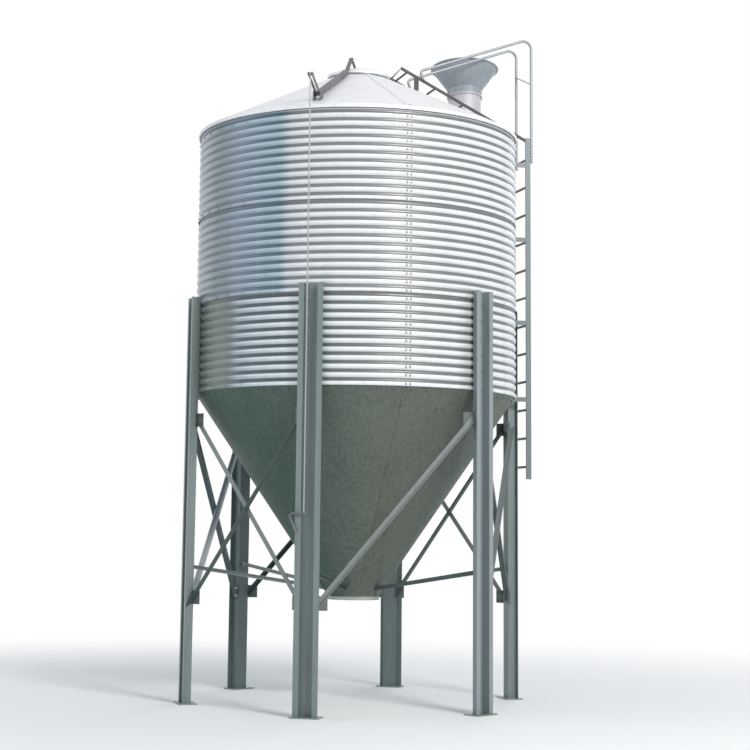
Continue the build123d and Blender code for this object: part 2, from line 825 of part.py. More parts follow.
# Bracket on the roof: two cheeks with the pin that the lever turns on
cheek_inner = hub_half_width + cheek_gap
cheek_outer = cheek_inner + cheek_thickness
cheek_head = pivot + Vector(0, cheek_top)
cheek_foot = pivot + Vector(0, eave_height - pivot.Y)
with BuildPart() as lever_bracket:
    bar_between(cheek_head, cheek_foot, cheek_width, cheek_inner, cheek_outer)
    bar_between(cheek_head, cheek_foot, cheek_width, -cheek_outer, -cheek_inner)
    trim_to_roof()
    disc_at(pivot, pin_radius, -cheek_outer - pin_overhang, cheek_outer + pin_overhang)
lever_bracket.part.label = "lever_bracket"
export_step(lever_bracket.part, "parts/lever_bracket.step")

# Pull rod: an eye round the crank's pin and a plain round rod, saddled on the handle
rod_plane = Plane(
    origin=outward(mechanism_azimuth) * crank_pin.X + across(mechanism_azimuth) * mechanism_offset,
    x_dir=across(mechanism_azimuth),
    z_dir=outward(mechanism_azimuth),
)
with BuildPart() as pull_rod:
    disc_at(crank_pin, rod_eye_radius, -rod_eye_half_width, rod_eye_half_width)
    with BuildSketch(Plane(origin=rod_plane.origin + Vector(0, 0, rod_bottom))):
        Circle(rod_radius)
    extrude(amount=crank_pin.Y - rod_bottom)
    disc_at(crank_pin, crank_pin_radius + pin_clearance, -rod_eye_radius, rod_eye_radius, Mode.SUBTRACT)
    disc_at(Vector(crank_pin.X, rod_bottom), handle_radius, -handle_stub, handle_stub, Mode.SUBTRACT)
pull_rod.part.label = "pull_rod"
export_step(pull_rod.part, "parts/pull_rod.step")

# Handle: a round bar that runs sideways from the rod and bends back down
with BuildPart() as rod_handle:
    with BuildLine(rod_plane) as handle_path:
        FilletPolyline(
            (handle_stub, rod_bottom),
            (-handle_reach, rod_bottom),
            (handle_return - handle_reach, rod_bottom - handle_drop),
            radius=handle_bend,
        )
    with BuildSketch(Plane(origin=handle_path.line @ 0, z_dir=handle_path.line % 0)):
        Circle(handle_radius)
    sweep()
rod_handle.part.label = "rod_handle"
export_step(rod_handle.part, "parts/rod_handle.step")
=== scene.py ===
# %% [markdown]
# # A feed silo on six legs
# This lesson dresses a galvanised feed silo: a corrugated wall, a cone roof, a hopper and its ladders.
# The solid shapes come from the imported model, in metres, with the origin on the silo's axis at the ground.
# What is added here is the finish of each sheet, and the small hardware that holds the sheets together.

import json
import math

import bpy
from mathutils import Matrix, Vector


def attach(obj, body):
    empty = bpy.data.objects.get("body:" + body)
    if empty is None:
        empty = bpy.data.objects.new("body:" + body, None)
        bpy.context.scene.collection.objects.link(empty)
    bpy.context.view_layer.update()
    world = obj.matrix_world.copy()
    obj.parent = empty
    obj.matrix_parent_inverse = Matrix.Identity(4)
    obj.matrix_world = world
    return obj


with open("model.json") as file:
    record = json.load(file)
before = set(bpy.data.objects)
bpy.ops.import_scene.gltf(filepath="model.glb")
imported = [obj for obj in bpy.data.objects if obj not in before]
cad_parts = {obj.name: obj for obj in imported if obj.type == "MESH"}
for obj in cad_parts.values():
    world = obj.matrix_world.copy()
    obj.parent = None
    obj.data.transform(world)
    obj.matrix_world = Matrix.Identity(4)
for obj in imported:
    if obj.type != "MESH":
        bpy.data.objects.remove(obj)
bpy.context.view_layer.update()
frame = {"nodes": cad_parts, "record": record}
nodes = frame["nodes"]

# %% [markdown]
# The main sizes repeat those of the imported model, because hardware has to sit on its faces.
# Heights are above the ground, and an azimuth is measured from the front and grows towards +X.

# %% Sizes of the silo
WALL_RADIUS = 1.371
PITCH = 0.0673
WAVE = 0.00635
SHEET = 0.0015
CREST = WALL_RADIUS + WAVE + SHEET
WALL_BOTTOM = 2.547
RING = 0.7403
RINGS = 3
CRESTS = 11
WALL_TOP = WALL_BOTTOM + RINGS * RING
EAVE = WALL_TOP + 0.005
ROOF_SLOPE = math.radians(25.6)
ROOF_TAN = math.tan(ROOF_SLOPE)
ROOF_EDGE = 1.390
APEX = EAVE + 0.028 + ROOF_EDGE * ROOF_TAN
SEAMS = (17.5, 137.5, 257.5)
BAY = 60
LEGS = [-14.2 + BAY * number for number in range(6)]
LEFT_LEG = LEGS[-1] - 360
LEG_INNER = CREST + 0.0003
LEG_OUTER = LEG_INNER + 0.075
LEG_HALF_BOX = 0.058
STEEL = 0.004
BRACE_PLANE = 1.235
BRACE_TOP = 2.332
BRACE_FOOT = 0.837
LADDER = 107
STILES = (-0.200, 0.150)
STILE_INNER = CREST + 0.123
STILE_MIDDLE = STILE_INNER + 0.023
RAIL_RADIUS = STILE_INNER + 0.046 + 0.012
HOPPER_FOOT = 0.885
COLLAR = 0.222
MECHANISM = -14.2
MECHANISM_SIDE = -0.026
LID_RADIUS = 0.275


def outward(azimuth):
    """Unit vector from the axis towards an azimuth."""
    angle = math.radians(azimuth)
    return Vector((math.sin(angle), -math.cos(angle), 0))


def across(azimuth):
    """Unit vector at right angles to an azimuth, towards growing azimuth."""
    angle = math.radians(azimuth)
    return Vector((math.cos(angle), math.sin(angle), 0))


def place(azimuth, radius, side, height):
    """A point at a radius, a sideways distance and a height."""
    return outward(azimuth) * radius + across(azimuth) * side + Vector((0, 0, height))


def roof_height(radius):
    """Height of the roof's outer face at a radius."""
    return APEX - radius * ROOF_TAN


def wall_face(height):
    """Radius of the wall's outer face at a height; the wave is arcs that swing out and in by turns."""
    arc = (PITCH ** 2 / 16 + WAVE ** 2) / (2 * WAVE)
    step = (height - WALL_BOTTOM) / (PITCH / 2)
    from_middle = (step % 1 - 0.5) * PITCH / 2
    bulge = math.sqrt(arc ** 2 - from_middle ** 2) - (arc - WAVE)
    return WALL_RADIUS + SHEET + (bulge if int(step) % 2 == 0 else -bulge)


def hopper_face(height):
    """Radius of the hopper's outer face at a height."""
    share = (height - HOPPER_FOOT) / (WALL_BOTTOM - HOPPER_FOOT)
    return COLLAR + 0.003 + share * (WALL_RADIUS - WAVE - SHEET - COLLAR - 0.003)


print("wall from", WALL_BOTTOM, "to", round(WALL_TOP, 4), "apex of the cone", round(APEX, 4))

# %% [markdown]
# ## Camera, floor and light
# The silo is seen from in front at eye level, with the camera tipped up and a long lens.
# The lens shift places the silo in the frame without turning the camera. The frame is 750 pixels square.

# %% Camera
FRAME = 750
camera_data = bpy.data.cameras.new("camera")
camera = bpy.data.objects.new("camera", camera_data)
bpy.context.scene.collection.objects.link(camera)
yaw, pitch, roll = -0.0036, 0.1457, 0.0119
forward = Vector((math.sin(yaw) * math.cos(pitch), math.cos(yaw) * math.cos(pitch), math.sin(pitch)))
level_right = Vector((math.cos(yaw), -math.sin(yaw), 0))
level_up = level_right.cross(forward)
right = level_right * math.cos(roll) + level_up * math.sin(roll)
up = level_up * math.cos(roll) - level_right * math.sin(roll)
turn = Matrix((right, up, -forward)).transposed().to_4x4()
camera.matrix_world = Matrix.Translation((0, -15.0056, 1.454)) @ turn
camera_data.sensor_width = 36
camera_data.lens = 1744.03 * 36 / FRAME
camera_data.shift_x = (FRAME / 2 - 350.34) / FRAME
camera_data.shift_y = (269.87 - FRAME / 2) / FRAME
camera_data.clip_end = 200
bpy.context.scene.camera = camera
bpy.context.scene.view_settings.view_transform = "Standard"
print("lens", round(camera_data.lens, 2), "mm")


# %% [markdown]
# A fresh primitive joins whatever is selected, so everything is deselected first.
# Two small helpers keep that rule, and give each finished piece its name with its place in its mesh.

# %% Helpers for new pieces
def clear_selection():
    """Leave edit mode and deselect everything."""
    if bpy.context.object and bpy.context.object.mode != "OBJECT":
        bpy.ops.object.mode_set(mode="OBJECT")
    bpy.ops.object.select_all(action="DESELECT")


def take(name):
    """Name the active object and put its place into its mesh."""
    piece = bpy.context.object
    piece.name = name
    piece.data.name = name
    bpy.ops.object.transform_apply(location=True, rotation=True, scale=True)
    return piece


# %% [markdown]
# The floor is a pale matt sheet. Near the feet it takes their shadow, and further out it fades to the same
# white as the sky, for the camera and for reflections only, so it never throws more light on the silo.

# %% Floor
clear_selection()
bpy.ops.mesh.primitive_plane_add(size=160, location=(0, 0, 0))
floor = take("floor")
FADE_START, FADE_END = 2.5, 9
floor_paint = bpy.data.materials.new("floor_paint")
floor_paint.use_nodes = True
tree = floor_paint.node_tree
shader = tree.nodes["Principled BSDF"]
shader.inputs["Base Color"].default_value = (0.93, 0.93, 0.92, 1)
shader.inputs["Roughness"].default_value = 0.9
shader.inputs["Specular IOR Level"].default_value = 0.1
glow = tree.nodes.new("ShaderNodeEmission")
where = tree.nodes.new("ShaderNodeTexCoord")
distance = tree.nodes.new("ShaderNodeVectorMath")
distance.operation = "LENGTH"
tree.links.new(where.outputs["Object"], distance.inputs[0])
fade = tree.nodes.new("ShaderNodeMapRange")
fade.interpolation_type = "SMOOTHSTEP"
fade.inputs["From Min"].default_value = FADE_START
fade.inputs["From Max"].default_value = FADE_END
tree.links.new(distance.outputs["Value"], fade.inputs["Value"])
mixed = tree.nodes.new("ShaderNodeMixShader")
tree.links.new(fade.outputs["Result"], mixed.inputs[0])
tree.links.new(shader.outputs["BSDF"], mixed.inputs[1])
tree.links.new(glow.outputs["Emission"], mixed.inputs[2])
rays = tree.nodes.new("ShaderNodeLightPath")
seen = tree.nodes.new("ShaderNodeMath")
seen.operation = "MAXIMUM"
tree.links.new(rays.outputs["Is Camera Ray"], seen.inputs[0])
tree.links.new(rays.outputs["Is Glossy Ray"], seen.inputs[1])
either = tree.nodes.new("ShaderNodeMixShader")
tree.links.new(seen.outputs["Value"], either.inputs[0])
tree.links.new(shader.outputs["BSDF"], either.inputs[1])
tree.links.new(mixed.outputs["Shader"], either.inputs[2])
tree.links.new(either.outputs["Shader"], tree.nodes["Material Output"].inputs["Surface"])
floor.data.materials.append(floor_paint)
print("floor", floor.dimensions.x, "m wide, fading to white beyond", FADE_START, "m")

# %% [markdown]
# The sky is white to the camera and a soft grey to the silo, so that the metal keeps its tone.
# One large lamp from the right and above stands for the sun, and a weak one fills the left.

# %% World and lamps
world = bpy.data.worlds.new("studio")
bpy.context.scene.world = world
world.use_nodes = True
tree = world.node_tree
tree.nodes.clear()
path = tree.nodes.new("ShaderNodeLightPath")
seen = tree.nodes.new("ShaderNodeMath")
seen.operation = "MAXIMUM"
soft = tree.nodes.new("ShaderNodeBackground")
soft.inputs["Color"].default_value = (0.80, 0.85, 0.92, 1)
soft.inputs["Strength"].default_value = 0.62
white = tree.nodes.new("ShaderNodeBackground")
white.inputs["Color"].default_value = (1, 1, 1, 1)
white.inputs["Strength"].default_value = 1
choice = tree.nodes.new("ShaderNodeMixShader")
output = tree.nodes.new("ShaderNodeOutputWorld")
tree.links.new(path.outputs["Is Camera Ray"], seen.inputs[0])
tree.links.new(path.outputs["Is Glossy Ray"], seen.inputs[1])
both = tree.nodes.new("ShaderNodeMath")
both.operation = "MAXIMUM"
tree.links.new(seen.outputs["Value"], both.inputs[0])
tree.links.new(path.outputs["Is Transmission Ray"], both.inputs[1])
tree.links.new(both.outputs["Value"], choice.inputs[0])
tree.links.new(soft.outputs[0], choice.inputs[1])
tree.links.new(white.outputs[0], choice.inputs[2])
tree.links.new(choice.outputs[0], output.inputs["Surface"])


def lamp(name, location, target, size, watts, color):
    """A square lamp that looks at a point."""
    clear_selection()
    bpy.ops.object.light_add(type="AREA", location=location)
    light = bpy.context.object
    light.name = name
    light.data.size = size
    light.data.energy = watts
    light.data.color = color
    light.rotation_euler = (Vector(target) - Vector(location)).to_track_quat("-Z", "Y").to_euler()


lamp("sun_side", (9, -15, 12), (0, 0, 3), 5, 2300, (1, 0.98, 0.95))
lamp("sky_side", (-16, -2, 9), (0, 0, 3), 8, 260, (0.86, 0.92, 1))
lamp("back_side", (6, 16, 10), (0, 0, 3), 7, 500, (0.95, 0.97, 1))


# %% [markdown]
# ## Finishes
# Galvanised sheet is bright zinc with a faint mottle of crystals, runs of dirt down its face and duller
# patches. Each finish here mixes three patterns on Object coordinates: a fine mottle, slow clouds and
# long streaks stretched upright. They change the colour, the roughness and, very slightly, the bump.

# %% Galvanised finish
def zinc(name, light, dark, metal, rough, mottle=90, streak=14, bump=0.15, stain=0.25, runs=1.0):
    """A weathered zinc finish. mottle and streak are patterns per metre, stain is how much dirt shows, and
    runs is how strongly it lies in upright runs."""
    material = bpy.data.materials.new(name)
    material.use_nodes = True
    tree = material.node_tree
    shader = tree.nodes["Principled BSDF"]
    shader.inputs["Metallic"].default_value = metal
    where = tree.nodes.new("ShaderNodeTexCoord")
    stretch = tree.nodes.new("ShaderNodeMapping")
    stretch.inputs["Scale"].default_value = (streak, streak, streak * 0.05)
    tree.links.new(where.outputs["Object"], stretch.inputs["Vector"])
    streaks = tree.nodes.new("ShaderNodeTexNoise")
    streaks.inputs["Scale"].default_value = 1
    streaks.inputs["Detail"].default_value = 6
    streaks.inputs["Roughness"].default_value = 0.6
    tree.links.new(stretch.outputs["Vector"], streaks.inputs["Vector"])
    clouds = tree.nodes.new("ShaderNodeTexNoise")
    clouds.inputs["Scale"].default_value = 2.3
    clouds.inputs["Detail"].default_value = 4
    tree.links.new(where.outputs["Object"], clouds.inputs["Vector"])
    crystals = tree.nodes.new("ShaderNodeTexVoronoi")
    crystals.inputs["Scale"].default_value = mottle
    tree.links.new(where.outputs["Object"], crystals.inputs["Vector"])
    crystal_tone = tree.nodes.new("ShaderNodeSeparateColor")
    tree.links.new(crystals.outputs["Color"], crystal_tone.inputs["Color"])
    dirt = tree.nodes.new("ShaderNodeMapRange")
    dirt.inputs["From Min"].default_value = 0.42
    dirt.inputs["From Max"].default_value = 0.72
    dirt.inputs["To Max"].default_value = stain * runs
    tree.links.new(streaks.outputs["Fac"], dirt.inputs["Value"])
    cloud_part = tree.nodes.new("ShaderNodeMath")
    cloud_part.operation = "MULTIPLY_ADD"
    cloud_part.inputs[1].default_value = stain * 0.9
    tree.links.new(clouds.outputs["Fac"], cloud_part.inputs[0])
    tree.links.new(dirt.outputs["Result"], cloud_part.inputs[2])
    crystal_part = tree.nodes.new("ShaderNodeMath")
    crystal_part.operation = "MULTIPLY_ADD"
    crystal_part.use_clamp = True
    crystal_part.inputs[1].default_value = 0.12
    tree.links.new(crystal_tone.outputs["Red"], crystal_part.inputs[0])
    tree.links.new(cloud_part.outputs["Value"], crystal_part.inputs[2])
    tones = tree.nodes.new("ShaderNodeValToRGB")
    tones.color_ramp.elements[0].color = (*light, 1)
    tones.color_ramp.elements[1].color = (*dark, 1)
    tree.links.new(crystal_part.outputs["Value"], tones.inputs["Fac"])
    tree.links.new(tones.outputs["Color"], shader.inputs["Base Color"])
    dull = tree.nodes.new("ShaderNodeMapRange")
    dull.inputs["To Min"].default_value = rough - 0.05
    dull.inputs["To Max"].default_value = rough + 0.22
    tree.links.new(crystal_part.outputs["Value"], dull.inputs["Value"])
    tree.links.new(dull.outputs["Result"], shader.inputs["Roughness"])
    relief = tree.nodes.new("ShaderNodeBump")
    relief.inputs["Strength"].default_value = bump
    relief.inputs["Distance"].default_value = 0.002
    tree.links.new(clouds.outputs["Fac"], relief.inputs["Height"])
    tree.links.new(relief.outputs["Normal"], shader.inputs["Normal"])
    return material


finishes = {
    "wall_sheet": zinc("wall_zinc", (0.90, 0.91, 0.92), (0.66, 0.69, 0.72), 0.30, 0.33, stain=0.30),
    # The hopper's dark green-grey base is a painted reflection of the ground on its zinc.
    "hopper_sheet": zinc("hopper_zinc", (0.150, 0.172, 0.142), (0.066, 0.088, 0.076), 0.1, 0.52,
                         mottle=280, streak=46, stain=0.45, runs=1.2),
    "roof_sheet": zinc("roof_zinc", (0.88, 0.88, 0.89), (0.60, 0.61, 0.65), 0.15, 0.42, stain=0.26),
    "leg_steel": zinc("leg_zinc", (0.225, 0.275, 0.272), (0.10, 0.13, 0.128), 0.3, 0.40,
                      mottle=140, streak=30),
    "brace_steel": zinc("brace_zinc", (0.25, 0.285, 0.28), (0.11, 0.135, 0.13), 0.3, 0.45, mottle=140),
    "funnel_sheet": zinc("funnel_zinc", (0.38, 0.415, 0.45), (0.24, 0.27, 0.30), 0.2, 0.5, stain=0.35),
    "neck_steel": zinc("neck_zinc", (0.62, 0.62, 0.65), (0.40, 0.40, 0.42), 0.2, 0.5, stain=0.35),
    "ladder_steel": zinc("ladder_zinc", (0.20, 0.225, 0.24), (0.09, 0.105, 0.115), 0.3, 0.42, mottle=160),
    "lever_steel": zinc("lever_zinc", (0.20, 0.20, 0.22), (0.09, 0.09, 0.10), 0.3, 0.5,
                        mottle=160, stain=0.45),
}
extra_finishes = {
    "bright_rod": zinc("rod_zinc", (0.40, 0.42, 0.43), (0.24, 0.26, 0.26), 0.4, 0.38, mottle=160),
    "collar": zinc("collar_zinc", (0.50, 0.53, 0.48), (0.30, 0.33, 0.30), 0.3, 0.45, stain=0.4),
    "roof_ladder": zinc("roof_ladder_zinc", (0.055, 0.058, 0.065), (0.025, 0.028, 0.03), 0.1, 0.55,
                        mottle=160),
    "bolt": zinc("bolt_zinc", (0.40, 0.41, 0.40), (0.22, 0.225, 0.21), 0.5, 0.40, mottle=240),
    # Lit and shaded copies of the leg finish: the first paints light on one leg, the second paints shade on
    # two legs.
    "painted_light_leg": zinc("painted_light_leg_zinc", (0.31, 0.355, 0.365), (0.16, 0.19, 0.195), 0.3, 0.4,
                     mottle=140, streak=30),
    "shade_leg": zinc("shade_leg_zinc", (0.165, 0.212, 0.208), (0.075, 0.096, 0.094), 0.2, 0.45,
                      mottle=140, streak=30),
    "gusset": zinc("gusset_zinc", (0.14, 0.17, 0.165), (0.07, 0.085, 0.082), 0.1, 0.5, mottle=140),
    "rail": zinc("rail_zinc", (0.36, 0.38, 0.40), (0.20, 0.215, 0.23), 0.4, 0.38, mottle=160),
    "pale_bar": zinc("pale_bar_zinc", (0.62, 0.64, 0.66), (0.42, 0.44, 0.46), 0.3, 0.4, mottle=160),
    "leg_bolt": zinc("leg_bolt_zinc", (0.30, 0.34, 0.34), (0.16, 0.19, 0.19), 0.3, 0.4, mottle=240),
    "dull_bolt": zinc("dull_bolt_zinc", (0.19, 0.215, 0.20), (0.10, 0.12, 0.11), 0.3, 0.45, mottle=240),
    "seal": zinc("seal_grey", (0.16, 0.17, 0.17), (0.08, 0.09, 0.09), 0.0, 0.7, mottle=240),
}


# %% [markdown]
# On the wall each groove is darker, partly from dirt and partly painted shade and a painted reflection of the
# ground.
# Round the silo the colour holds painted light: a painted highlight on the sunny side, painted shade and
# reflection in blue-grey on the left, with the edge of a darker sheet between them. The groove's darkening is
# a cosine of the height, one turn to a pitch. The painted light round the silo is a colour ramp over the
# azimuth, once for the crests and once for the grooves, and the lowest ring has ramps of its own.

# %% Painted light and groove shade of the wall
def math_node(tree, operation, first, second=None, third=None):
    """One Math node; an input may be a socket or a number."""
    node = tree.nodes.new("ShaderNodeMath")
    node.operation = operation
    for index, value in enumerate((first, second, third)):
        if value is None:
            continue
        if isinstance(value, (int, float)):
            node.inputs[index].default_value = value
        else:
            tree.links.new(value, node.inputs[index])
    return node.outputs["Value"]


def axes_and_azimuth(tree):
    """The Object coordinates apart, and the azimuth in radians, 0 at the front and growing towards +X."""
    where = tree.nodes.new("ShaderNodeTexCoord")
    axes = tree.nodes.new("ShaderNodeSeparateXYZ")
    tree.links.new(where.outputs["Object"], axes.inputs[0])
    front = math_node(tree, "MULTIPLY", axes.outputs["Y"], -1.0)
    return axes.outputs["X"], front, axes.outputs["Z"], math_node(tree, "ARCTAN2", axes.outputs["X"], front)


def azimuth_ramp(tree, azimuth, stops):
    """A colour ramp over the azimuth; stops are pairs of degrees and a colour."""
    node = tree.nodes.new("ShaderNodeValToRGB")
    elements = node.color_ramp.elements
    while len(elements) < len(stops):
        elements.new(1)
    for element, (degrees, color) in zip(elements, stops):
        element.position = degrees / 360 + 0.5
        element.color = (*color, 1)
    share = math_node(tree, "MULTIPLY_ADD", azimuth, 0.5 / math.pi, 0.5)
    tree.links.new(share, node.inputs["Fac"])
    return node.outputs["Color"]


def mix_colors(tree, blend, share, first, second):
    """One colour Mix node on three sockets; the share may be a number."""
    node = tree.nodes.new("ShaderNodeMix")
    node.data_type = "RGBA"
    node.blend_type = blend
    if isinstance(share, (int, float)):
        node.inputs["Factor"].default_value = share
    else:
        tree.links.new(share, node.inputs["Factor"])
    tree.links.new(first, node.inputs[6])
    tree.links.new(second, node.inputs[7])
    return node.outputs[2]


# Crest ramps hold a painted highlight on the sunny side and painted shade on the left; groove ramps hold dirt
# and painted shade.
CREST_PAINTED_LIGHT = (
    (-180, (0.55, 0.58, 0.62)),
    (-84, (0.56, 0.60, 0.63)),
    (-66, (0.46, 0.51, 0.55)),
    (-55, (0.30, 0.36, 0.39)),
    (-46, (0.38, 0.45, 0.53)),
    (-36, (0.44, 0.53, 0.61)),
    (-27, (0.46, 0.59, 0.64)),
    (-23.5, (0.82, 0.84, 0.88)),
    (-19, (0.95, 0.95, 0.97)),
    (60, (1.0, 1.0, 1.0)),
    (90, (0.80, 0.82, 0.84)),
    (180, (0.55, 0.58, 0.62)),
)
GROOVE_DIRT_AND_PAINTED_SHADE = (
    (-180, (0.22, 0.25, 0.27)),
    (-80, (0.24, 0.27, 0.29)),
    (-60, (0.14, 0.19, 0.20)),
    (-46, (0.20, 0.25, 0.30)),
    (-34, (0.10, 0.17, 0.20)),
    (-26, (0.08, 0.14, 0.17)),
    (-22.5, (0.23, 0.245, 0.25)),
    (20, (0.25, 0.255, 0.25)),
    (70, (0.19, 0.205, 0.205)),
    (180, (0.22, 0.25, 0.27)),
)
HOPPER_TONES = (
    (-180, (0.80, 0.88, 0.88)),
    (-80, (0.50, 0.78, 0.74)),
    (-40, (0.54, 0.82, 0.80)),
    (-12, (0.90, 0.97, 0.97)),
    (20, (1.0, 1.0, 0.98)),
    (80, (0.92, 0.97, 0.96)),
    (180, (0.80, 0.88, 0.88)),
)
LOW_CREST_PAINTED_LIGHT = (
    (-180, (0.40, 0.43, 0.43)),
    (-84, (0.30, 0.36, 0.33)),
    (-60, (0.26, 0.31, 0.27)),
    (-50, (0.27, 0.31, 0.29)),
    (-47, (0.33, 0.36, 0.38)),
    (-44, (0.52, 0.58, 0.64)),
    (-34, (0.72, 0.79, 0.84)),
    (-22, (0.90, 0.95, 0.97)),
    (-8, (0.97, 1.0, 1.0)),
    (60, (1.0, 1.0, 1.0)),
    (90, (0.78, 0.80, 0.80)),
    (180, (0.40, 0.43, 0.43)),
)
LOW_GROOVE_DIRT_AND_PAINTED_SHADE = (
    (-180, (0.20, 0.22, 0.22)),
    (-80, (0.14, 0.18, 0.16)),
    (-52, (0.18, 0.22, 0.19)),
    (-47, (0.15, 0.19, 0.20)),
    (-42, (0.075, 0.12, 0.13)),
    (-26, (0.08, 0.115, 0.12)),
    (-12, (0.14, 0.16, 0.16)),
    (20, (0.22, 0.225, 0.22)),
    (70, (0.16, 0.175, 0.17)),
    (180, (0.20, 0.22, 0.22)),
)
GROOVE_SHIFT = 0.5


def add_wall_painted_light(material):
    """Multiply the plain zinc colour by the crest's painted light or the groove's dirt and painted shade at
    each azimuth.
    """
    tree = material.node_tree
    shader = tree.nodes["Principled BSDF"]
    plain = shader.inputs["Base Color"].links[0].from_socket
    x, front, height, azimuth = axes_and_azimuth(tree)
    turns = math_node(tree, "MULTIPLY_ADD", height, 2 * math.pi / PITCH,
                      GROOVE_SHIFT - 2 * math.pi * (WALL_BOTTOM / PITCH + 0.25))
    wave = math_node(tree, "COSINE", turns)
    # Each groove darkens, partly dirt and partly painted shade and a painted reflection of the ground.
    groove = tree.nodes.new("ShaderNodeMapRange")
    groove.interpolation_type = "SMOOTHSTEP"
    groove.inputs["From Min"].default_value = 0.42
    groove.inputs["From Max"].default_value = -0.62
    tree.links.new(wave, groove.inputs["Value"])
    upper = mix_colors(tree, "MIX", groove.outputs["Result"],
                       azimuth_ramp(tree, azimuth, CREST_PAINTED_LIGHT), azimuth_ramp(tree, azimuth, GROOVE_DIRT_AND_PAINTED_SHADE))
    lower = mix_colors(tree, "MIX", groove.outputs["Result"], azimuth_ramp(tree, azimuth, LOW_CREST_PAINTED_LIGHT),
                       azimuth_ramp(tree, azimuth, LOW_GROOVE_DIRT_AND_PAINTED_SHADE))
    lowest = math_node(tree, "LESS_THAN", height, WALL_BOTTOM + RING)
    tones = mix_colors(tree, "MIX", lowest, upper, lower)
    tree.links.new(mix_colors(tree, "MULTIPLY", 1.0, plain, tones), shader.inputs["Base Color"])


def add_hopper_tones(material):
    """Let the hopper darken towards the left and the back, where less light reaches under the wall."""
    tree = material.node_tree
    shader = tree.nodes["Principled BSDF"]
    plain = shader.inputs["Base Color"].links[0].from_socket
    azimuth = axes_and_azimuth(tree)[3]
    tones = azimuth_ramp(tree, azimuth, HOPPER_TONES)
    tree.links.new(mix_colors(tree, "MULTIPLY", 1.0, plain, tones), shader.inputs["Base Color"])


def add_brace_painted_light_and_shade(material):
    """Paint shade on one bar of each crossed pair, the inner one and on the left the outer one, and paint
    light on the inner bar of the bay behind the left leg, so that it is pale."""
    tree = material.node_tree
    shader = tree.nodes["Principled BSDF"]
    plain = shader.inputs["Base Color"].links[0].from_socket
    x, front, height, azimuth = axes_and_azimuth(tree)
    bay = math.radians(BAY)
    from_leg = math_node(tree, "SUBTRACT", azimuth, math.radians(LEGS[0]))
    turned = math_node(tree, "FLOORED_MODULO", from_leg, bay)
    reach = math_node(tree, "SQRT", math_node(tree, "MULTIPLY_ADD", front, front,
                      math_node(tree, "MULTIPLY", x, x)))
    from_middle = math_node(tree, "SUBTRACT", turned, bay / 2)
    distance = math_node(tree, "MULTIPLY", reach, math_node(tree, "COSINE", from_middle))
    inner = math_node(tree, "LESS_THAN", distance, BRACE_PLANE)
    left = math_node(tree, "COMPARE", azimuth, math.radians(LEFT_LEG), bay)
    darker = math_node(tree, "ABSOLUTE", math_node(tree, "SUBTRACT", inner, left))
    dark = tree.nodes.new("ShaderNodeRGB")
    dark.outputs[0].default_value = (0.34, 0.42, 0.42, 1)
    toned = mix_colors(tree, "MULTIPLY", darker, plain, dark.outputs[0])
    back_left = math_node(tree, "COMPARE", azimuth, math.radians(LEFT_LEG - BAY / 2), bay / 2)
    pale = tree.nodes.new("ShaderNodeRGB")
    pale.outputs[0].default_value = (0.60, 0.64, 0.66, 1)
    on_plane = math_node(tree, "GREATER_THAN", distance, BRACE_PLANE - 0.06)
    inner_left = math_node(tree, "MULTIPLY", math_node(tree, "MULTIPLY", back_left, inner), on_plane)
    toned = mix_colors(tree, "MIX", inner_left, toned, pale.outputs[0])
    tree.links.new(toned, shader.inputs["Base Color"])


add_brace_painted_light_and_shade(finishes["brace_steel"])
add_wall_painted_light(finishes["wall_sheet"])
add_hopper_tones(finishes["hopper_sheet"])
print("groove tone repeats every", PITCH * 1000, "mm")

# %% [markdown]
# Each imported node takes the finish of its material slot from the record. A few take a finish of their own.
# Three of
# the legs are lit and shaded copies: one is lighter with painted light, and two at the back are darker with
# painted shade.

# %% Finish the imported nodes
slot_of = {row["node"]: row["material_slot"] for row in frame["record"]["subparts"]}
# Three legs take lit or shaded copies of the leg finish: painted light on one, painted shade on two.
own_finish = {"pull_rod": "bright_rod", "outlet_collar": "collar", "roof_ladder": "roof_ladder",
              "roof_ladder_feet": "roof_ladder", "brace_gussets": "gusset",
              "leg_2": "painted_light_leg", "leg_4": "shade_leg", "leg_5": "shade_leg",
              "handrail_near": "rail", "handrail_far": "rail", "rail_cross_bar": "pale_bar"}
for node_name, node in nodes.items():
    if node_name in own_finish:
        chosen = extra_finishes[own_finish[node_name]]
    else:
        chosen = finishes[slot_of[node_name]]
    node.data.materials.clear()
    node.data.materials.append(chosen)
print("finishes:", sorted(finishes))


# %% [markdown]
# ## Bolts
# The sheets are held by hundreds of bolts with a hexagonal head on a round washer. One is modelled once,
# then copied to each place with its own mesh, and the copies of a row are joined into one piece.

# %% One bolt
def dress(piece, slot, body, finish=None):
    """Give a new piece its finish, chosen by its material slot when no finish is given, and the body it rides
    on.
    """
    piece.data.materials.clear()
    piece.data.materials.append(finish or finishes[slot])
    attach(piece, body)


